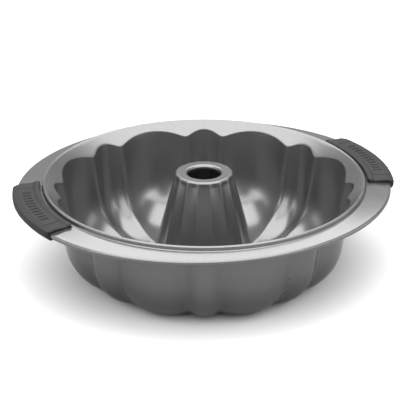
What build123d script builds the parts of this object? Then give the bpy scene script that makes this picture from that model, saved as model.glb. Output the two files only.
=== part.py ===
"""Fluted tube pan: a pressed steel cake pan with a centre tube and two silicone grips.

Millimetres. The origin is on the table under the centre of the pan, +Z is up, and the two grips are
at +X and -X. Sheet surfaces are drawn as corner points (radius, height) in a plane through the Z axis.
"""

import os
from math import cos, hypot, radians, sin

from build123d import *

os.makedirs("parts", exist_ok=True)

# Driving dimensions of the shell
SHEET = 0.8
CREST_HEIGHT = 83.0
CREST_RADIUS = 127.0
CREST_ROUNDING = 1.3
CREST_CORNER_REACH = (0.95, 1.19)
RIDGE_FOOT_RADIUS = 128.5
RIDGE_DROP = 3.7

# Flutes: eight narrow and eight wide lobes, parted by sixteen inward ridges.
# The pattern is turned a little from the line through the two grips.
LOBE_PAIRS = 8
FLUTE_TURN = 2.3
NARROW_CENTRE = FLUTE_TURN + 180 / LOBE_PAIRS
NARROW_HALF_ANGLE = 7.45
NARROW_FULLNESS = 0.88
WIDE_CENTRE = FLUTE_TURN
WIDE_HALF_ANGLE = 180 / LOBE_PAIRS - NARROW_HALF_ANGLE
NARROW_SECTIONS = 5
WIDE_SECTIONS = 7
WIDE_FULLNESS = 1.0

# Wall corners, at the inward ridge (0) and at the middle of a full lobe (1)
SHELF_EDGE_RADIUS = (114.3, 120.4)
SHELF_EDGE_DEPTH_AT_RIDGE = 9.7
SHELF_EDGE_ROUNDING = 1.5
HEEL_RADIUS = (104.5, 108.5)
HEEL_HEIGHT = (11.0, SHEET)
HEEL_ROUNDING = (42.0, 44.0)
FLOOR_START_RADIUS = 60.0

# Floor ring around the tube: a step up lets the crimp sit clear of the table
STEP_OUTER_RADIUS = 57.5
STEP_INNER_RADIUS = 55.8
STEP_HEIGHT = 1.0
FLOOR_HOLE_RADIUS = 46.2

# Oval flange and its rolled edge
OVAL_HALF_LENGTH = 150.5
OVAL_HALF_WIDTH = 139.0
FLANGE_EDGE_DROP = 6.4
ROLL_RADIUS = 2.2
ROLL_CENTRE_DROP = 8.3
ROLL_OVERLAP = 1.0
WIRE_RADIUS = 1.3

# Centre tube: corners of its ridges, from the foot to the top
TUBE_SIDES = 16
TUBE_CORNERS = (
    (53.0, 3.4),
    (49.2, 3.9),
    (46.8, 5.0),
    (45.2, 6.8),
    (44.0, 9.6),
    (43.0, 12.4),
    (22.6, 87.0),
    (22.1, 88.3),
    (21.2, 88.8),
)
TUBE_TOP = 88.8
TUBE_HOLE_RADIUS = 13.4
TUBE_PLATE_HOLE_RADIUS = 16.8
TUBE_LIP_ROUNDING = 2.2
TUBE_LIP_DEPTH = 3.2
TUBE_SEAM_RADIUS = 54.0
TUBE_NECK_RADIUS = 46.0
TUBE_CURL_RADIUS = 51.0
TUBE_CURL_BOTTOM = 0.2

# Silicone grips
GRIP_OUTER_RADIUS = 153.2
GRIP_INNER_RADIUS = 130.4
GRIP_INNER_HALF_ANGLE = 19.8
GRIP_OUTER_HALF_ANGLE = 18.2
GRIP_CORNER_ROUNDING = 2.0
GRIP_END_MARGIN = 1.0
OUTLINE_MARGIN = 0.3
GRIP_PROFILE = (
    (GRIP_INNER_RADIUS, 76.2),
    (GRIP_INNER_RADIUS, 82.0),
    (133.6, 82.0),
    (136.6, 80.9),
    (147.0, 80.7),
    (GRIP_OUTER_RADIUS, 78.6),
    (GRIP_OUTER_RADIUS, 74.8),
    (150.4, 71.4),
    (145.6, 71.4),
    (140.0, 74.2),
)
GRIP_PROFILE_ROUNDING = 1.2
GRIP_CLEARANCE = 0.15
END_GROOVE_ANGLE = 14.2
GROOVE_WIDTH = 1.3
GROOVE_DEPTH = 1.0
FINGER_GROOVE_COUNT = 11
FINGER_GROOVE_PITCH = 2.1
FINGER_GROOVE_LENGTH = 7.0
FINGER_GROOVE_RADIUS = 142.0
PLUG_RADIUS = 2.5
PLUG_HOLE_RADIUS = 2.6
PLUG_CIRCLE_RADIUS = 140.0
PLUG_ANGLES = (-12.0, 0.0, 12.0)


def meridian(angle):
    """Plane through the Z axis: local x is the radius at this angle, and local y is the height."""
    turn = radians(angle)
    return Plane(origin=(0, 0, 0), x_dir=(cos(turn), sin(turn), 0), z_dir=(sin(turn), -cos(turn), 0))


def blend(pair, share):
    """Value between the first and the second of a pair."""
    return pair[0] + (pair[1] - pair[0]) * share


def offset_corners(corners, distance):
    """Corners of the same polyline moved sideways, to the left of its direction of travel."""
    normals = []
    for (x0, y0), (x1, y1) in zip(corners, corners[1:]):
        length = hypot(x1 - x0, y1 - y0)
        normals.append(((y0 - y1) / length, (x1 - x0) / length))
    first = [(corners[0][0] + distance * normals[0][0], corners[0][1] + distance * normals[0][1])]
    last = [(corners[-1][0] + distance * normals[-1][0], corners[-1][1] + distance * normals[-1][1])]
    inner = []
    for (x, y), (ax, ay), (bx, by) in zip(corners[1:-1], normals, normals[1:]):
        reach = distance / (1 + ax * bx + ay * by)
        inner.append((x + reach * (ax + bx), y + reach * (ay + by)))
    return first + inner + last


def shell_corners(fullness):
    """Upper skin of the shell, from the flange's foot over the crest and down to the floor."""
    crest_corner = (CREST_RADIUS + CREST_CORNER_REACH[0], CREST_HEIGHT + CREST_CORNER_REACH[1])
    ridge_edge = (SHELF_EDGE_RADIUS[0], CREST_HEIGHT - SHELF_EDGE_DEPTH_AT_RIDGE)
    slope = (crest_corner[1] - ridge_edge[1]) / (crest_corner[0] - ridge_edge[0])
    edge_radius = blend(SHELF_EDGE_RADIUS, fullness)
    edge_height = crest_corner[1] - slope * (crest_corner[0] - edge_radius)
    return [
        (RIDGE_FOOT_RADIUS, CREST_HEIGHT - RIDGE_DROP - SHEET),
        crest_corner,
        (edge_radius, edge_height),
        (blend(HEEL_RADIUS, fullness), blend(HEEL_HEIGHT, fullness)),
        (FLOOR_START_RADIUS, SHEET),
    ]


def shell_section(angle, fullness):
    """Closed cross-section of the pressed sheet in the plane at this angle."""
    upper = shell_corners(fullness)
    lower = offset_corners(upper, SHEET)
    lower[0] = (RIDGE_FOOT_RADIUS - SHEET, upper[0][1])
    lower[-1] = (FLOOR_START_RADIUS, 0)
    heel = blend(HEEL_ROUNDING, fullness)
    upper_radii = [0, CREST_ROUNDING, SHELF_EDGE_ROUNDING, heel, 0]
    lower_radii = [0, CREST_ROUNDING - SHEET, SHELF_EDGE_ROUNDING - SHEET, heel + SHEET, 0]
    with BuildSketch(meridian(angle)) as section:
        with BuildLine():
            FilletPolyline(*upper, *lower[::-1], radius=upper_radii + lower_radii[::-1], close=True)
        make_face()
    return section.sketch


def lobe_sections(centre, half_angle, count, fullness):
    """Cross-sections across one lobe: shallow at both ridges and fullest in the middle."""
    places = [2 * index / (count - 1) - 1 for index in range(count)]
    return [shell_section(centre + half_angle * place, fullness * (1 - place**2)) for place in places]


def ring_polygon(radius, height):
    """Level face with equal sides, one of them facing the middle of each lobe."""
    corners = []
    for side in range(TUBE_SIDES):
        turn = radians(NARROW_CENTRE + (side + 0.5) * 360 / TUBE_SIDES)
        corners.append((radius * cos(turn), radius * sin(turn)))
    with BuildSketch(Plane.XY.offset(height)) as face:
        Polygon(*corners, align=None)
    return face.sketch


def oval_frustum(lowered, extra):
    """Solid under the flange: a circle at the ridge's foot, and an oval at the rolled edge."""
    top = CREST_HEIGHT - RIDGE_DROP - lowered
    edge = CREST_HEIGHT - FLANGE_EDGE_DROP - lowered
    inset = ROLL_RADIUS + ROLL_OVERLAP
    half_sizes = (OVAL_HALF_LENGTH - inset, OVAL_HALF_WIDTH - inset)
    with BuildPart() as frustum:
        with BuildSketch(Plane.XY.offset(top)):
            Circle(RIDGE_FOOT_RADIUS)
        with BuildSketch(Plane.XY.offset(edge)) as rim:
            Ellipse(*half_sizes)
        loft(ruled=True)
        if extra:
            extrude(rim.sketch, amount=-extra)
    return frustum.part


def flange_sheet(clearance):
    """Sloping oval sheet from the ridge to the roll, thicker by the clearance on both faces."""
    thickness = SHEET + 2 * clearance
    upper = oval_frustum(-clearance, thickness)
    lower = oval_frustum(thickness - clearance, 0)
    with BuildPart() as sheet:
        add(upper)
        add(lower, mode=Mode.SUBTRACT)
        with BuildSketch(Plane.XY):
            Circle(RIDGE_FOOT_RADIUS - SHEET / 2)
        extrude(amount=CREST_HEIGHT, mode=Mode.SUBTRACT)
    return sheet.part


def oval_ring(radius):
    """Solid round bar that follows the middle of the rolled edge."""
    half_length = OVAL_HALF_LENGTH - ROLL_RADIUS
    half_width = OVAL_HALF_WIDTH - ROLL_RADIUS
    height = CREST_HEIGHT - ROLL_CENTRE_DROP
    with BuildPart() as ring:
        with BuildLine() as path:
            EllipticalCenterArc((0, 0, height), half_length, half_width, arc_size=360)
        with BuildSketch(Plane(origin=(half_length, 0, height), x_dir=(1, 0, 0), z_dir=(0, 1, 0))):
            Circle(radius)
        sweep(path=path.line)
    return ring.part


def grip_outline():
    """Rounded plan shape of one grip, centred on +X, with ends that slant towards the middle."""
    outer_arc = (GRIP_OUTER_RADIUS + OUTLINE_MARGIN, -GRIP_OUTER_HALF_ANGLE, 2 * GRIP_OUTER_HALF_ANGLE)
    inner_arc = (GRIP_INNER_RADIUS - OUTLINE_MARGIN, -GRIP_INNER_HALF_ANGLE, 2 * GRIP_INNER_HALF_ANGLE)
    with BuildSketch(Plane.XY) as outline:
        with BuildLine():
            outer = CenterArc((0, 0), *outer_arc)
            inner = CenterArc((0, 0), *inner_arc)
            Line(outer @ 0, inner @ 0)
            Line(outer @ 1, inner @ 1)
        make_face()
        fillet(outline.vertices(), radius=GRIP_CORNER_ROUNDING)
    return outline.sketch


def grip_turning(growth):
    """Grip profile turned about the Z axis, grown outward (or inward, if negative) by this much."""
    half_turn = GRIP_INNER_HALF_ANGLE + GRIP_END_MARGIN
    with BuildPart() as turning:
        with BuildSketch(meridian(-half_turn)):
            with BuildLine():
                FilletPolyline(*GRIP_PROFILE, radius=GRIP_PROFILE_ROUNDING, close=True)
            make_face()
            if growth:
                offset(amount=growth, mode=Mode.REPLACE)
        revolve(axis=Axis.Z, revolution_arc=2 * half_turn)
    return turning.part


# Pan body: one lobe of each kind, repeated round the axis
with BuildPart() as narrow_lobe:
    loft(sections=lobe_sections(NARROW_CENTRE, NARROW_HALF_ANGLE, NARROW_SECTIONS, NARROW_FULLNESS))

with BuildPart() as wide_lobe:
    loft(sections=lobe_sections(WIDE_CENTRE, WIDE_HALF_ANGLE, WIDE_SECTIONS, WIDE_FULLNESS))

flange = flange_sheet(0)
roll_bar = oval_ring(ROLL_RADIUS)
roll_hollow = oval_ring(ROLL_RADIUS - SHEET)

with BuildPart() as pan_body:
    with PolarLocations(0, LOBE_PAIRS):
        add(narrow_lobe.part)
        add(wide_lobe.part)
    add(flange)
    add(roll_bar)
    add(roll_hollow, mode=Mode.SUBTRACT)
    # Floor ring, with its seam on the middle of a lobe
    with BuildSketch(meridian(WIDE_CENTRE)):
        with BuildLine():
            Polyline(
                (FLOOR_START_RADIUS, 0),
                (FLOOR_START_RADIUS, SHEET),
                (STEP_OUTER_RADIUS, SHEET),
                (STEP_INNER_RADIUS, STEP_HEIGHT + SHEET),
                (FLOOR_HOLE_RADIUS, STEP_HEIGHT + SHEET),
                (FLOOR_HOLE_RADIUS, STEP_HEIGHT),
                (STEP_INNER_RADIUS - SHEET / 2, STEP_HEIGHT),
                (STEP_OUTER_RADIUS - SHEET / 2, 0),
                close=True,
            )
        make_face()
    revolve(axis=Axis.Z)
    for side in (0, 180):
        for angle in PLUG_ANGLES:
            with BuildSketch(Plane.XY.offset(CREST_HEIGHT)):
                with PolarLocations(PLUG_CIRCLE_RADIUS, 1, start_angle=side + angle):
                    Circle(PLUG_HOLE_RADIUS)
            extrude(amount=-2 * FLANGE_EDGE_DROP, mode=Mode.SUBTRACT)

pan_body.part.label = "pan_body"
export_step(pan_body.part, "parts/pan_body.step")


# Rim wire, closed inside the rolled edge
rim_wire = oval_ring(WIRE_RADIUS)
rim_wire.label = "rim_wire"
export_step(rim_wire, "parts/rim_wire.step")


# Centre tube: a sixteen-sided cone with a lipped hole on top and a crimped seam at its foot
with BuildPart() as tube_hollow:
    hollow_corners = offset_corners(TUBE_CORNERS, SHEET)
    loft(sections=[ring_polygon(radius, height) for radius, height in hollow_corners], ruled=True)

with BuildPart() as centre_tube:
    loft(sections=[ring_polygon(radius, height) for radius, height in TUBE_CORNERS], ruled=True)
    add(tube_hollow.part, mode=Mode.SUBTRACT)
    with BuildSketch(Plane.XY.offset(TUBE_TOP)):
        Circle(TUBE_PLATE_HOLE_RADIUS)
    extrude(amount=-2 * SHEET, mode=Mode.SUBTRACT)
    # Lip, rolled inward and down into the hole
    with BuildSketch(Plane.XZ):
        with BuildLine():
            FilletPolyline(
                (TUBE_PLATE_HOLE_RADIUS, TUBE_TOP),
                (TUBE_HOLE_RADIUS, TUBE_TOP),
                (TUBE_HOLE_RADIUS, TUBE_TOP - TUBE_LIP_DEPTH),
                (TUBE_HOLE_RADIUS + SHEET, TUBE_TOP - TUBE_LIP_DEPTH),
                (TUBE_HOLE_RADIUS + SHEET, TUBE_TOP - SHEET),
                (TUBE_PLATE_HOLE_RADIUS, TUBE_TOP - SHEET),
                radius=[0, TUBE_LIP_ROUNDING, 0, 0, TUBE_LIP_ROUNDING - SHEET, 0],
                close=True,
            )
        make_face()
    revolve(axis=Axis.Z)
    # Seam: a folded bead above the floor, a neck through its hole and a curl beneath it
    with BuildSketch(Plane.XZ):
        with BuildLine():
            floor_top = STEP_HEIGHT + SHEET
            Polyline(
                (TUBE_SEAM_RADIUS, floor_top),
                (TUBE_SEAM_RADIUS, TUBE_CORNERS[0][1]),
                (TUBE_CORNERS[0][0] - SHEET, TUBE_CORNERS[0][1]),
                (TUBE_CORNERS[0][0] - SHEET, floor_top + SHEET),
                (TUBE_NECK_RADIUS - SHEET, floor_top + SHEET),
                (TUBE_NECK_RADIUS - SHEET, TUBE_CURL_BOTTOM),
                (TUBE_CURL_RADIUS, TUBE_CURL_BOTTOM),
                (TUBE_CURL_RADIUS, STEP_HEIGHT),
                (TUBE_NECK_RADIUS, STEP_HEIGHT),
                (TUBE_NECK_RADIUS, floor_top),
                close=True,
            )
        make_face()
    revolve(axis=Axis.Z)

centre_tube.part.label = "centre_tube"
export_step(centre_tube.part, "parts/centre_tube.step")


# Grips: silicone sleeves over both ends of the flange, locked by plugs through its holes
flange_space = flange_sheet(GRIP_CLEARANCE)
roll_space = oval_ring(ROLL_RADIUS + GRIP_CLEARANCE)
grip_solid = grip_turning(0)
grip_core = grip_turning(-GROOVE_DEPTH)

# Grooves in the top skin: one near each end, and a row between them that gives the fingers a hold
with BuildPart() as grooves:
    with BuildSketch(Plane.XY.offset(CREST_HEIGHT - RIDGE_DROP)):
        for side in (-1, 1):
            middle = (GRIP_INNER_RADIUS + GRIP_OUTER_RADIUS) / 2
            with PolarLocations(middle, 1, start_angle=side * END_GROOVE_ANGLE):
                Rectangle(GRIP_OUTER_RADIUS - GRIP_INNER_RADIUS + 2, GROOVE_WIDTH)
        for index in range(FINGER_GROOVE_COUNT):
            angle = (index - (FINGER_GROOVE_COUNT - 1) / 2) * FINGER_GROOVE_PITCH
            with PolarLocations(FINGER_GROOVE_RADIUS, 1, start_angle=angle):
                SlotOverall(FINGER_GROOVE_LENGTH, GROOVE_WIDTH)
    extrude(amount=CREST_HEIGHT)
    add(grip_core, mode=Mode.SUBTRACT)

with BuildPart() as grip:
    with BuildSketch(Plane.XY):
        add(grip_outline())
    extrude(amount=CREST_HEIGHT)
    add(grip_solid, mode=Mode.INTERSECT)
    add(grooves.part, mode=Mode.SUBTRACT)
    add(flange_space, mode=Mode.SUBTRACT)
    add(roll_space, mode=Mode.SUBTRACT)
    for angle in PLUG_ANGLES:
        with BuildSketch(Plane.XY.offset(CREST_HEIGHT - FLANGE_EDGE_DROP - 2)):
            with PolarLocations(PLUG_CIRCLE_RADIUS, 1, start_angle=angle):
                Circle(PLUG_RADIUS)
        extrude(amount=4)

for name, turn in (("right_grip", 0), ("left_grip", 180)):
    with BuildPart() as sleeve:
        add(grip.part, rotation=(0, 0, turn))
    sleeve.part.label = name
    export_step(sleeve.part, f"parts/{name}.step")
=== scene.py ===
"""Looks of the fluted tube pan: smooth skins for the pressed sheet, the centre tube and the silicone
grips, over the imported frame. The pan's sizes are in millimetres, and turned into metres when a mesh is made.
The stage's sizes and the camera's distances are in metres.
"""

import math

import bpy
import numpy as np
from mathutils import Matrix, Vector


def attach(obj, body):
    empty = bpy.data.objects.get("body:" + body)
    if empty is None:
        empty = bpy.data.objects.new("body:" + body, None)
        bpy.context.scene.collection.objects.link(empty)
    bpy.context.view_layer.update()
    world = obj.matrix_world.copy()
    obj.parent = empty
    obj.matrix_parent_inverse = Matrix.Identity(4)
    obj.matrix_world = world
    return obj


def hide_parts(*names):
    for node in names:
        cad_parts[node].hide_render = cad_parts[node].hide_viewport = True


MM = 0.001

# Pressed sheet
SHEET = 0.8
CREST_CORNER = (128.02, 84.28)
CREST_ROUNDING = 1.4
RIDGE_FOOT = (128.5, 79.3)
RIDGE_FOOT_ROUNDING = 1.1
SHELF_EDGE_RADIUS = (114.3, 120.4)
SHELF_RIDGE_HEIGHT = 73.3
SHELF_EDGE_ROUNDING = 1.5
HEEL_RADIUS = (104.5, 108.5)
HEEL_HEIGHT = (11.0, 0.8)
HEEL_ROUNDING = (42.0, 44.0)
FLOOR_START = (60.0, 0.8)
FLOOR_ROUNDING = 20.0
STEP_CORNERS = ((46.2, 1.8), (55.8, 1.8), (57.5, 0.8))
STEP_ROUNDING = 0.8

# Flutes: the pattern is turned a little from the line through the grips
LOBE_PAIRS = 8
FLUTE_TURN = 2.3
NARROW_CENTRE = FLUTE_TURN + 180 / LOBE_PAIRS
NARROW_HALF_ANGLE = 7.45
NARROW_FULLNESS = 0.88
WIDE_HALF_ANGLE = 180 / LOBE_PAIRS - NARROW_HALF_ANGLE
RIDGE_SOFTNESS = {"shelf": 1.25, "heel": 1.25}

# Rolled edge of the oval flange, whose wrap is in half turns
OVAL = (150.5, 139.0)
ROLL_RADIUS = 2.2
ROLL_HEIGHT = 74.7
ROLL_WRAP = 1.18
ROLL_POINTS = 30

# Centre tube, as radii of its ridges
TUBE_TOP = 88.8
TUBE_SEAT = STEP_CORNERS[0][1]
TUBE_FLARE = ((54.0, 3.4), (50.0, 3.5), (43.6, 9.8))
TUBE_SHOULDER = (22.7, TUBE_TOP)
TUBE_HOLE_RADIUS = 13.4
TUBE_LIP_BOTTOM = 85.6
TUBE_NECK_RADIUS = 46.0
TUBE_CURL_RADIUS = 51.0
TUBE_CURL_BOTTOM = 0.2
TUBE_OUTER_ROUNDING = (0.1, 0.7, 4.0, 9.0, 1.7, 2.2)
TUBE_INNER_ROUNDING = (1.4, 0.4, 8.2, 0.2, 0.1, 0.1, 0.3, 0.3, 0.1)
TUBE_FLUTES = 16
TUBE_FLUTE_DEPTH = 0.05
TUBE_RIDGE_SOFTNESS = 0.6
TUBE_LINE_STEPS = 40

# The tube's flutes start at a height, at a radius and at a distance below the rim. Each start has the
# distance over which they deepen from there.
FLUTE_FOOT = (3.4, 8.0)
FLUTE_PLATE = (17.0, 4.0)
FLUTE_RIM = (1.4, 2.4)
FLUTE_SHARE_AT_RIM = 0.4

# Silicone grips: the section's corners, then the corners' roundings. A half angle is at the inner and
# at the outer radius.
GRIP_SECTION = ((130.4, 79.3), (130.4, 82.0), (133.8, 82.0), (136.4, 80.9), (147.0, 80.7), (153.2, 78.8),
                (153.2, 74.8), (150.4, 71.5), (145.6, 71.5), (140.0, 74.4), (130.4, 76.2), (130.4, 78.0))
GRIP_ROUNDING = (1.4, 1.3, 2.0, 6.0, 2.2, 2.2, 1.2, 2.0, 4.0, 0.6)
GRIP_OUTER_RADIUS = 153.2
GRIP_OVERHANG = GRIP_OUTER_RADIUS - OVAL[0]
GRIP_INNER_RADIUS = 130.4
GRIP_HALF_ANGLE = (19.8, 18.2)
GRIP_MIDDLE_HEIGHT = 78
GRIP_CORNER = 3.0
GRIP_EDGE = 1.2
GRIP_UNDERSIDE_LIFT = 0.3
GRIP_CLEARANCE = 0.1
SLOT_LEAVES_ROLL = 0.2
GRIP_STEPS = 420
GRIP_STEP_CROWDING = 0.35
GRIP_POINTS = 170
END_GROOVE_ANGLE = 14.6
END_GROOVE_WIDTH = 0.6
END_GROOVE_START = 134
END_GROOVE_BOW = {"depth": 1.1, "middle": 142.0, "reach": 8.0}
FINGER_GROOVES = 11
FINGER_GROOVE_PITCH = 2.1
FINGER_GROOVE_SPAN = (138.4, 145.6)
FINGER_GROOVE_WIDTH = 1.4
GROOVE_DEPTH = {"finger": 2.3, "end": 0.9}
GROOVED_HEIGHT = 79.2
GROOVE_FADE = 0.8

# Steps round the pan, and the widths of a bell curve at which it is cut off
AROUND = 720
BELL_REACH = 4

# Materials: a noise is a scale and a detail, and a relief is a strength and a depth in metres
NOISE_RANGE = (0.3, 0.7)
COATING = {"metallic": 0.85, "flakes": (900, 2), "clouds": (25, 3), "grey": (0.113, 0.127),
           "roughness": (0.22, 0.28), "relief": (0.04, 0.00005)}
SILICONE = {"specular": 0.17, "grain": (1400, 3), "clouds": (60, 2), "grey": (0.006, 0.008),
            "roughness": (0.5, 0.62), "relief": (0.3, 0.0001)}
WIRE = {"metallic": 1.0, "streaks": (600, 2), "grey": (0.5, 0.6), "roughness": (0.3, 0.4)}

# Stage and light: a radiance is the light from each point of a soft box
FLOOR_HALF = 4.0
FLOOR_GREY = 0.13
# Grey card: a copy of the floor that only reflections see and the floor light doesn't reach, so the coating
# reflects painted shade of the floor near the pan instead of the lit floor
FLOOR_SHADE_CARD_GREY = 0.24
FLOOR_SHADE_CARD_LIFT = 0.0002
# Black card: a black sheet in front of the pan that only reflections see, which paints a dark reflection along
# the pan's front edges
DARK_REFLECTION_CARD = {"half_width": 0.55, "front": -0.9, "height": 0.3}
WORLD_STRENGTH = 0.62
SOFT_BOX = {"height": 1.5, "half_width": 1.15, "front": -0.9, "back": 2.15, "radiance": 4.9}
PANEL_ACROSS = 1.3
PANEL = {"away": -0.2, "height": 0.4, "width": 1.6, "length": 0.7, "radiance": 1.8}
FILL = {"height": 4.0, "half_width": 3.0, "front": -3.2, "back": 2.8, "radiance": 4.6}
FLOOR_LIGHT = {"height": 2.8, "half_width": 5.5, "front": -6.5, "back": 0.6, "radiance": 15.5}
FRONT_BOX = {"height": 1.2, "half_width": 2.4, "front": -4.0, "back": -0.8, "radiance": 3.9}

# Camera: it looks along a line through the middle of a narrow flute
VIEW_AZIMUTH = math.radians(FLUTE_TURN - 180 / LOBE_PAIRS)
CAMERA_DISTANCE = 1.6256
CAMERA_HEIGHT = 0.7843
CAMERA_PITCH = 0.4169
LENS = 200.3
SENSOR_WIDTH = 36
SIDE_SHIFT = -0.0101


def blend(pair, share):
    """Value between the first and the second of a pair."""
    return pair[0] + (pair[1] - pair[0]) * share


def smooth_step(share):
    """Share from 0 to 1 with soft ends."""
    share = np.clip(share, 0, 1)
    return share * share * (3 - 2 * share)


def lobe_place(angle):
    """Kind of lobe at this angle, and the place across it from -1 to 1, where both ends are ridges."""
    pitch = 360 / LOBE_PAIRS
    from_narrow = (angle - NARROW_CENTRE + pitch / 2) % pitch - pitch / 2
    if abs(from_narrow) <= NARROW_HALF_ANGLE:
        return "narrow", from_narrow / NARROW_HALF_ANGLE
    return "wide", (pitch / 2 - abs(from_narrow)) / WIDE_HALF_ANGLE


def softened(values, softness):
    """Values around a full turn, smoothed by a bell curve this many degrees wide."""
    step = 360 / len(values)
    reach = int(BELL_REACH * softness / step)
    offsets = np.arange(-reach, reach + 1)
    weights = np.exp(-0.5 * (offsets * step / softness) ** 2)
    weights /= weights.sum()
    return sum(weight * np.roll(values, offset) for weight, offset in zip(weights, offsets))


def fullness_around(softness):
    """How full the wall is at each step round the pan: 0 at an inward ridge and 1 in a wide lobe."""
    values = []
    for step in range(AROUND):
        kind, place = lobe_place(360 * step / AROUND)
        peak = NARROW_FULLNESS if kind == "narrow" else 1.0
        values.append(peak * (1 - place**2))
    values = softened(np.array(values), softness)
    return (values - values.min()) / (values.max() - values.min())


def offset_corners(corners, distance):
    """Corners of the same polyline moved sideways, to the left of its direction of travel."""
    corners = np.array(corners, float)
    steps = np.diff(corners, axis=0)
    lengths = np.linalg.norm(steps, axis=1)[:, None]
    normals = np.stack([-steps[:, 1], steps[:, 0]], axis=1) / lengths
    moved = [corners[0] + distance * normals[0]]
    for corner, before, after in zip(corners[1:-1], normals, normals[1:]):
        moved.append(corner + distance * (before + after) / (1 + before @ after))
    moved.append(corners[-1] + distance * normals[-1])
    return np.array(moved)


def rounded(corners, radii, line_steps=5, arc_steps=8):
    """Points along a polyline with its inner corners rounded, always the same number of points."""
    corners = np.array(corners, float)
    points = []
    start = corners[0]
    for before, corner, after, radius in zip(corners, corners[1:], corners[2:], radii):
        back = (before - corner) / np.linalg.norm(before - corner)
        ahead = (after - corner) / np.linalg.norm(after - corner)
        half = math.acos(max(-1.0, min(1.0, back @ ahead))) / 2
        setback = radius / math.tan(half)
        centre = corner + (back + ahead) / np.linalg.norm(back + ahead) * radius / math.sin(half)
        entry = corner + back * setback
        leave = corner + ahead * setback
        points.extend(start + (entry - start) * t for t in np.arange(line_steps) / line_steps)
        first = math.atan2(*(entry - centre)[::-1])
        turn = (math.atan2(*(leave - centre)[::-1]) - first + math.pi) % (2 * math.pi) - math.pi
        for t in np.arange(arc_steps) / arc_steps:
            angle = first + turn * t
            points.append(centre + radius * np.array([math.cos(angle), math.sin(angle)]))
        start = leave
    points.extend(start + (corners[-1] - start) * t for t in np.arange(line_steps + 1) / line_steps)
    return np.array(points)


def resampled(points, count):
    """This many points, evenly spaced along the same path."""
    lengths = np.concatenate([[0], np.cumsum(np.linalg.norm(np.diff(points, axis=0), axis=1))])
    places = np.linspace(0, lengths[-1], count)
    return np.stack([np.interp(places, lengths, column) for column in points.T], axis=1)


def linked_piece(name, points, faces):
    """Smooth-shaded object from (x, y, z) points in millimetres."""
    mesh = bpy.data.meshes.new(name)
    mesh.from_pydata((points * MM).tolist(), [], faces)
    mesh.update()
    mesh.shade_smooth()
    piece = bpy.data.objects.new(name, mesh)
    bpy.context.scene.collection.objects.link(piece)
    return piece


def strip_faces(size, first, second):
    """Quads between two closed loops of points that start at these numbers."""
    return [(first + index, second + index, second + (index + 1) % size, first + (index + 1) % size)
            for index in range(size)]


def ring_mesh(name, loops):
    """Closed mesh from one closed loop of points at each step round the axis."""
    count, size = loops.shape[:2]
    faces = []
    for step in range(count):
        faces += strip_faces(size, step * size, (step + 1) % count * size)
    return linked_piece(name, loops.reshape(-1, 3), faces)


def turned(profile, angle):
    """(x, y, z) points of a (radius, height) profile standing at this angle, or these angles, in degrees."""
    turn = np.radians(angle)
    return np.stack([profile[:, 0] * np.cos(turn), profile[:, 0] * np.sin(turn), profile[:, 1]], axis=1)


def oval_radius(angle, inset):
    """Distance from the axis to the oval, this far inside its outer edge."""
    turn = math.radians(angle)
    length, width = (half - inset for half in OVAL)
    return 1 / math.hypot(math.cos(turn) / length, math.sin(turn) / width)


def flange_end(roll_centre):
    """Angle round the rolled edge, and (radius, height), where the flange's top face runs into it."""
    along = RIDGE_FOOT[0] - roll_centre
    up = RIDGE_FOOT[1] - ROLL_HEIGHT
    angle = math.atan2(up, along) - math.acos(ROLL_RADIUS / math.hypot(along, up))
    return angle, (roll_centre + ROLL_RADIUS * math.cos(angle), ROLL_HEIGHT + ROLL_RADIUS * math.sin(angle))


def roll_arc(centre, radius):
    """Clockwise turn round the rolled edge, from the flange's top face to its underside."""
    first, _ = flange_end(centre)
    angles = np.linspace(first, -math.pi * ROLL_WRAP, ROLL_POINTS)
    return np.stack([centre + radius * np.cos(angles), ROLL_HEIGHT + radius * np.sin(angles)], axis=1)


def body_loop(angle, edge_fullness, heel_fullness):
    """Closed (radius, height) outline of the sheet: floor, wall, shelf, crest, flange, roll and back."""
    slope = (CREST_CORNER[1] - SHELF_RIDGE_HEIGHT) / (CREST_CORNER[0] - SHELF_EDGE_RADIUS[0])
    edge_radius = blend(SHELF_EDGE_RADIUS, edge_fullness)
    edge_height = CREST_CORNER[1] - slope * (CREST_CORNER[0] - edge_radius)
    roll_centre = oval_radius(angle, ROLL_RADIUS)
    heel = blend(HEEL_ROUNDING, heel_fullness)
    upper = [
        *STEP_CORNERS,
        FLOOR_START,
        (blend(HEEL_RADIUS, heel_fullness), blend(HEEL_HEIGHT, heel_fullness)),
        (edge_radius, edge_height),
        CREST_CORNER,
        RIDGE_FOOT,
        flange_end(roll_centre)[1],
    ]
    lower = offset_corners(upper, -SHEET)[::-1]
    lower[0] = lower[0] + (lower[1] - lower[0]) * ROLL_RADIUS / np.linalg.norm(lower[1] - lower[0])
    hollow = (STEP_ROUNDING, STEP_ROUNDING, FLOOR_ROUNDING, heel)
    upper_radii = (*hollow, SHELF_EDGE_ROUNDING, CREST_ROUNDING, RIDGE_FOOT_ROUNDING)
    lower_radii = (RIDGE_FOOT_ROUNDING - SHEET, CREST_ROUNDING - SHEET, SHELF_EDGE_ROUNDING - SHEET,
                   heel + SHEET, FLOOR_ROUNDING, STEP_ROUNDING, STEP_ROUNDING)
    roll = roll_arc(roll_centre, ROLL_RADIUS)
    return np.concatenate([rounded(upper, upper_radii)[:-1], roll, rounded(lower, lower_radii)])


def make_body():
    """Smooth skin of the pan body."""
    edge_fullness = fullness_around(RIDGE_SOFTNESS["shelf"])
    heel_fullness = fullness_around(RIDGE_SOFTNESS["heel"])
    loops = []
    for step in range(AROUND):
        angle = 360 * step / AROUND
        loops.append(turned(body_loop(angle, edge_fullness[step], heel_fullness[step]), angle))
    return ring_mesh("pan_body_skin", np.array(loops))


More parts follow.
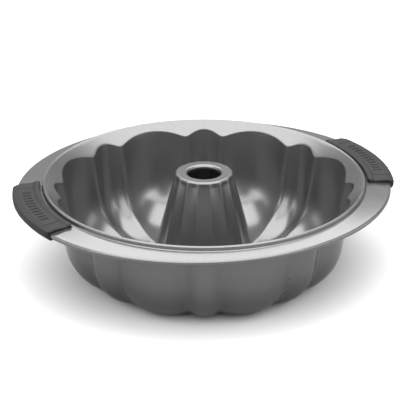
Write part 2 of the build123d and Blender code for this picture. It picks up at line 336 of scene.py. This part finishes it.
def tube_dip(angle):
    """Share by which the tube's radius dips between its ridges at this angle."""
    pitch = 360 / TUBE_FLUTES
    place = 2 * ((angle - NARROW_CENTRE) / pitch % 1) - 1
    return TUBE_FLUTE_DEPTH * (1 - (1 - abs(place)) ** 2)


def risen(value, start, distance):
    """Share from 0 to 1 that a value has risen past a start, over this distance."""
    return np.clip((value - start) / distance, 0, 1)


def tube_flute_share(profile):
    """How much of the flute's depth each profile point has."""
    radius, height = profile.T
    foot = risen(height, *FLUTE_FOOT)
    plate = risen(radius, *FLUTE_PLATE)
    top = risen(TUBE_TOP - height, *FLUTE_RIM)
    return smooth_step(foot * plate) * blend((FLUTE_SHARE_AT_RIM, 1), smooth_step(top))


def tube_outline():
    """Closed (radius, height) outline of the tube's sheet along its ridges, with its foot and its curl."""
    lip = [(TUBE_HOLE_RADIUS, TUBE_TOP), (TUBE_HOLE_RADIUS, TUBE_LIP_BOTTOM)]
    outer = [(TUBE_NECK_RADIUS, TUBE_SEAT), (TUBE_FLARE[0][0], TUBE_SEAT), *TUBE_FLARE, TUBE_SHOULDER, *lip]
    wall = offset_corners([*TUBE_FLARE[1:], TUBE_SHOULDER, *lip], SHEET)[::-1]
    neck = TUBE_NECK_RADIUS - SHEET
    foot_top = TUBE_SEAT + SHEET
    curl_top = TUBE_CURL_BOTTOM + SHEET
    inner = [*wall[:-1], (TUBE_FLARE[1][0], foot_top), (neck, foot_top), (neck, TUBE_CURL_BOTTOM),
             (TUBE_CURL_RADIUS, TUBE_CURL_BOTTOM), (TUBE_CURL_RADIUS, curl_top),
             (TUBE_NECK_RADIUS, curl_top), (TUBE_NECK_RADIUS, TUBE_SEAT)]
    outer_points = rounded(outer, TUBE_OUTER_ROUNDING, TUBE_LINE_STEPS)
    inner_points = rounded(inner, TUBE_INNER_ROUNDING)
    return np.concatenate([outer_points[:-1], inner_points[:-1]])


def make_tube():
    """Smooth skin of the centre tube: flutes that fade out at the foot and get shallower at the rim."""
    profile = tube_outline()
    share = tube_flute_share(profile)
    dips = np.array([tube_dip(360 * step / AROUND) for step in range(AROUND)])
    dips = softened(dips, TUBE_RIDGE_SOFTNESS)
    loops = []
    for step in range(AROUND):
        moved = profile.copy()
        moved[:, 0] *= 1 - dips[step] * share
        loops.append(turned(moved, 360 * step / AROUND))
    return ring_mesh("centre_tube_skin", np.array(loops))


def rounding_drop(distance, radius):
    """How far a surface with this edge rounding falls back at this distance from its end."""
    short = np.clip(radius - distance, 0, radius)
    return radius - np.sqrt(radius**2 - short**2)


def groove_share(distance, width):
    """Depth of a V-shaped groove, as a share, at this distance from its middle line."""
    return np.clip(1 - np.abs(distance) / width, 0, 1)


def grip_slot(angle):
    """Path round the flange and its rolled edge that a grip's inside follows, at this angle."""
    centre = oval_radius(angle, ROLL_RADIUS)
    foot = np.array(RIDGE_FOOT)
    end = np.array(flange_end(centre)[1])
    start = foot + (end - foot) * (GRIP_INNER_RADIUS - foot[0]) / (end[0] - foot[0])
    lift = np.array((0, GRIP_CLEARANCE))
    thickness = np.array((0, SHEET + GRIP_CLEARANCE))
    arc = roll_arc(centre, ROLL_RADIUS + GRIP_CLEARANCE)
    under = end + (start - end) * SLOT_LEAVES_ROLL - thickness
    return np.concatenate([[start + lift], arc, [under, start - thickness]])


def groove_depths(angle, radius):
    """Depth of the grooves in a grip's top skin, in millimetres, at these angles and radii."""
    depth = np.zeros(len(radius))
    first, last = FINGER_GROOVE_SPAN
    ends = smooth_step((radius - first) / GROOVE_FADE) * smooth_step((last - radius) / GROOVE_FADE)
    for index in range(FINGER_GROOVES):
        centre = (index - (FINGER_GROOVES - 1) / 2) * FINGER_GROOVE_PITCH
        across = np.radians(angle - centre) * radius
        depth += GROOVE_DEPTH["finger"] * groove_share(across, FINGER_GROOVE_WIDTH) * ends
    bow = END_GROOVE_BOW["depth"] * ((radius - END_GROOVE_BOW["middle"]) / END_GROOVE_BOW["reach"]) ** 2
    end_part = radius > END_GROOVE_START
    for sign in (-1, 1):
        across = sign * np.radians(angle - sign * END_GROOVE_ANGLE) * radius + bow
        depth += GROOVE_DEPTH["end"] * groove_share(across, END_GROOVE_WIDTH) * end_part
    return depth


def grip_places():
    """Places along a grip from -1 to 1, a little closer together towards both ends."""
    shares = np.arange(GRIP_STEPS + 1) / GRIP_STEPS
    return blend((2 * shares - 1, -np.cos(math.pi * shares)), GRIP_STEP_CROWDING)


def grip_spread(radius):
    """Share of the way from a grip's inner radius to its outer radius."""
    return (radius - GRIP_INNER_RADIUS) / (GRIP_OUTER_RADIUS - GRIP_INNER_RADIUS)


def grip_skin(place, side, section):
    """Outside of a grip at this place along it: its section with soft ends and grooves."""
    radius, height = section.T
    spread = grip_spread(radius)
    angle = place * blend(GRIP_HALF_ANGLE, spread)
    left = (1 - abs(place)) * math.radians(GRIP_HALF_ANGLE[1]) * radius
    edge = oval_radius(place * GRIP_HALF_ANGLE[1], 0) + GRIP_OVERHANG
    fitted = radius + (edge - GRIP_OUTER_RADIUS) * smooth_step(spread)
    corner = rounding_drop(left, GRIP_CORNER)
    moved_radius = np.clip(fitted, GRIP_INNER_RADIUS + corner, edge - corner)
    drop = rounding_drop(left, GRIP_EDGE) * np.where(height > GRIP_MIDDLE_HEIGHT, 1, -GRIP_UNDERSIDE_LIFT)
    upper_skin = smooth_step((height - GROOVED_HEIGHT) / GROOVE_FADE)
    moved_height = height - drop - groove_depths(angle, fitted) * upper_skin
    return turned(np.stack([moved_radius, moved_height], axis=1), side + angle)


def grip_lining(place, side):
    """Inside of a grip at this place along it, round the flange and its rolled edge."""
    slot = resampled(grip_slot(place * GRIP_HALF_ANGLE[1]), GRIP_POINTS)
    angle = place * blend(GRIP_HALF_ANGLE, grip_spread(slot[:, 0]))
    return turned(slot, side + angle)


def end_cap(size, start):
    """Quads between the outside and the lining of a grip at one end, where its points start at a number."""
    return [(start + index, start + index + 1, start + size - 2 - index, start + size - 1 - index)
            for index in range(GRIP_POINTS - 1)]


def make_grip(name, side):
    """One silicone grip: a closed sleeve over the flange, centred on this angle."""
    section = resampled(rounded(GRIP_SECTION, GRIP_ROUNDING), GRIP_POINTS)
    loops = []
    for place in grip_places():
        lining = grip_lining(place, side)
        loops.append(np.concatenate([grip_skin(place, side, section), lining[::-1]]))
    loops = np.array(loops)
    size = loops.shape[1]
    faces = []
    for step in range(GRIP_STEPS):
        faces += strip_faces(size, step * size, (step + 1) * size)
    faces += [quad[::-1] for quad in end_cap(size, 0)]
    faces += end_cap(size, GRIP_STEPS * size)
    return linked_piece(name, loops.reshape(-1, 3), faces)


def material(name):
    """New node material, with its nodes and its links."""
    made = bpy.data.materials.new(name)
    made.use_nodes = True
    return made, made.node_tree.nodes, made.node_tree.links


def noise(nodes, links, coordinates, scale, detail):
    """Noise texture over the object's own coordinates."""
    texture = nodes.new("ShaderNodeTexNoise")
    texture.inputs["Scale"].default_value = scale
    texture.inputs["Detail"].default_value = detail
    links.new(coordinates.outputs["Object"], texture.inputs["Vector"])
    return texture


def ramp(nodes, links, source, low, high):
    """Output that follows a texture from a low to a high value."""
    made = nodes.new("ShaderNodeMapRange")
    made.inputs["From Min"].default_value = NOISE_RANGE[0]
    made.inputs["From Max"].default_value = NOISE_RANGE[1]
    made.inputs["To Min"].default_value = low
    made.inputs["To Max"].default_value = high
    links.new(source, made.inputs["Value"])
    return made.outputs["Result"]


def bumped(nodes, links, shader, source, strength, distance):
    """Fine relief on a shader from a texture."""
    bump = nodes.new("ShaderNodeBump")
    bump.inputs["Strength"].default_value = strength
    bump.inputs["Distance"].default_value = distance
    links.new(source, bump.inputs["Height"])
    links.new(bump.outputs["Normal"], shader.inputs["Normal"])


def coated_steel():
    """Satin metallic coating with a fine flake grain and faint mottling."""
    made, nodes, links = material("coated_steel")
    shader = nodes["Principled BSDF"]
    shader.inputs["Metallic"].default_value = COATING["metallic"]
    coordinates = nodes.new("ShaderNodeTexCoord")
    flakes = noise(nodes, links, coordinates, *COATING["flakes"])
    clouds = noise(nodes, links, coordinates, *COATING["clouds"])
    links.new(ramp(nodes, links, flakes.outputs["Fac"], *COATING["grey"]), shader.inputs["Base Color"])
    links.new(ramp(nodes, links, clouds.outputs["Fac"], *COATING["roughness"]), shader.inputs["Roughness"])
    bumped(nodes, links, shader, flakes.outputs["Fac"], *COATING["relief"])
    return made


def silicone():
    """Matte moulded silicone with a faint grain."""
    made, nodes, links = material("silicone")
    shader = nodes["Principled BSDF"]
    shader.inputs["Specular IOR Level"].default_value = SILICONE["specular"]
    coordinates = nodes.new("ShaderNodeTexCoord")
    grain = noise(nodes, links, coordinates, *SILICONE["grain"])
    clouds = noise(nodes, links, coordinates, *SILICONE["clouds"])
    links.new(ramp(nodes, links, clouds.outputs["Fac"], *SILICONE["grey"]), shader.inputs["Base Color"])
    links.new(ramp(nodes, links, grain.outputs["Fac"], *SILICONE["roughness"]), shader.inputs["Roughness"])
    bumped(nodes, links, shader, grain.outputs["Fac"], *SILICONE["relief"])
    return made


def drawn_wire():
    """Plain drawn steel wire, hidden in the rolled edge."""
    made, nodes, links = material("steel_wire")
    shader = nodes["Principled BSDF"]
    shader.inputs["Metallic"].default_value = WIRE["metallic"]
    coordinates = nodes.new("ShaderNodeTexCoord")
    streaks = noise(nodes, links, coordinates, *WIRE["streaks"])
    links.new(ramp(nodes, links, streaks.outputs["Fac"], *WIRE["grey"]), shader.inputs["Base Color"])
    links.new(ramp(nodes, links, streaks.outputs["Fac"], *WIRE["roughness"]), shader.inputs["Roughness"])
    return made


def seen_from_camera(across, away, up):
    """Place in the frame from distances across the view, away from the camera and up."""
    cosine, sine = math.cos(VIEW_AZIMUTH), math.sin(VIEW_AZIMUTH)
    return Vector((across * cosine - away * sine, across * sine + away * cosine, up))


def matte_sheet(name, corners, grey):
    """Flat matte sheet of the studio with these four corners."""
    mesh = bpy.data.meshes.new(name)
    mesh.from_pydata(corners, [], [(0, 1, 2, 3)])
    sheet = bpy.data.objects.new(name, mesh)
    bpy.context.scene.collection.objects.link(sheet)
    paint, nodes, _ = material(name)
    shader = nodes["Principled BSDF"]
    shader.inputs["Base Color"].default_value = (grey, grey, grey, 1)
    shader.inputs["Roughness"].default_value = 1.0
    shader.inputs["Specular IOR Level"].default_value = 0.0
    mesh.materials.append(paint)
    return sheet


def square_corners(height):
    """Corners of a level square round the pan, at this height in metres."""
    return [(x * FLOOR_HALF, y * FLOOR_HALF, height) for x, y in ((-1, -1), (1, -1), (1, 1), (-1, 1))]


def make_stage():
    """Floor, and in its place for reflections: a grey card just above it that the floor light doesn't reach,
    which paints shade into the reflected floor, and a black card in front, which paints a dark reflection.
    """
    floor = matte_sheet("floor", square_corners(0), FLOOR_GREY)
    floor.visible_glossy = False
    half_width, front, top = DARK_REFLECTION_CARD["half_width"], DARK_REFLECTION_CARD["front"], DARK_REFLECTION_CARD["height"]
    dark_reflection_corners = [seen_from_camera(across, front, up) for across, up in
                     ((-half_width, 0), (half_width, 0), (half_width, top), (-half_width, top))]
    # The cards are hidden from the camera, from bounced light and from shadows: they paint shade into the
    # coating's reflections only
    for card in (matte_sheet("floor_shade_card", square_corners(FLOOR_SHADE_CARD_LIFT), FLOOR_SHADE_CARD_GREY),
                 matte_sheet("dark_reflection_card", dark_reflection_corners, 0.0)):
        card.visible_camera = False
        card.visible_diffuse = False
        card.visible_shadow = False
    return floor


def make_world():
    """Even pale surroundings, shown without a tone curve."""
    world = bpy.data.worlds.new("studio")
    bpy.context.scene.world = world
    bpy.context.scene.view_settings.view_transform = "Standard"
    world.use_nodes = True
    background = world.node_tree.nodes["Background"]
    background.inputs["Color"].default_value = (1, 1, 1, 1)
    background.inputs["Strength"].default_value = WORLD_STRENGTH


def soft_box(name, width, length, radiance, place):
    """Rectangular soft box at this place, with this much light from each point of it."""
    data = bpy.data.lights.new(name, "AREA")
    data.shape = "RECTANGLE"
    data.size = width
    data.size_y = length
    data.energy = radiance * math.pi * width * length
    lamp = bpy.data.objects.new(name, data)
    bpy.context.scene.collection.objects.link(lamp)
    lamp.location = place
    return lamp


def overhead_box(name, height, half_width, front, back, radiance):
    """Level soft box over the pan."""
    place = seen_from_camera(0, (front + back) / 2, height)
    lamp = soft_box(name, 2 * half_width, back - front, radiance, place)
    lamp.rotation_euler = (0, 0, VIEW_AZIMUTH)
    return lamp


def side_panel(name, across, away, height, width, length, radiance):
    """Upright soft box beside the pan, turned to face it."""
    place = seen_from_camera(across, away, height)
    lamp = soft_box(name, width, length, radiance, place)
    lamp.rotation_euler = (-place).to_track_quat("-Z", "Y").to_euler()
    return lamp


def make_lights(floor):
    """Soft boxes that the pan reflects, a fill that it doesn't, and a light for the floor alone."""
    overhead_box("overhead", **SOFT_BOX)
    overhead_box("front_box", **FRONT_BOX)
    side_panel("left_panel", -PANEL_ACROSS, **PANEL)
    side_panel("right_panel", PANEL_ACROSS, **PANEL)
    fill = overhead_box("fill", **FILL)
    fill.visible_glossy = False
    floor_light = overhead_box("floor_light", **FLOOR_LIGHT)
    floor_light.visible_glossy = False
    floor_only = bpy.data.collections.new("floor_only")
    floor_only.objects.link(floor)
    floor_light.light_linking.receiver_collection = floor_only


def make_camera():
    """Camera that looks down on the pan from the front."""
    camera_data = bpy.data.cameras.new("camera")
    camera_data.lens = LENS
    camera_data.sensor_width = SENSOR_WIDTH
    camera_data.shift_x = SIDE_SHIFT
    camera = bpy.data.objects.new("camera", camera_data)
    bpy.context.scene.collection.objects.link(camera)
    camera.location = seen_from_camera(0, -CAMERA_DISTANCE, CAMERA_HEIGHT)
    camera.rotation_euler = (math.pi / 2 - CAMERA_PITCH, 0, VIEW_AZIMUTH)
    bpy.context.scene.camera = camera


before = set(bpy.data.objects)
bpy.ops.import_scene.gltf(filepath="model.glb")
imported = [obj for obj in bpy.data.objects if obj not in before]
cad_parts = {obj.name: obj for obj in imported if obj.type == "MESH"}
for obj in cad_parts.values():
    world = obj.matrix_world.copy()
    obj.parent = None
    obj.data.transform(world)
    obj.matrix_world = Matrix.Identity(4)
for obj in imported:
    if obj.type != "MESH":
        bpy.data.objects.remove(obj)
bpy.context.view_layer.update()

body = make_body()
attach(body, "root")
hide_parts("pan_body")
tube = make_tube()
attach(tube, "root")
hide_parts("centre_tube")
grips = []
for node, side in (("right_grip", 0), ("left_grip", 180)):
    grip = make_grip(f"{node}_skin", side)
    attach(grip, "root")
    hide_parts(node)
    grips.append(grip)

coating = coated_steel()
for piece in (body, tube):
    piece.data.materials.append(coating)
rubber = silicone()
for grip in grips:
    grip.data.materials.append(rubber)
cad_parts["rim_wire"].data.materials.clear()
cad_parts["rim_wire"].data.materials.append(drawn_wire())

make_world()
floor = make_stage()
make_lights(floor)
make_camera()
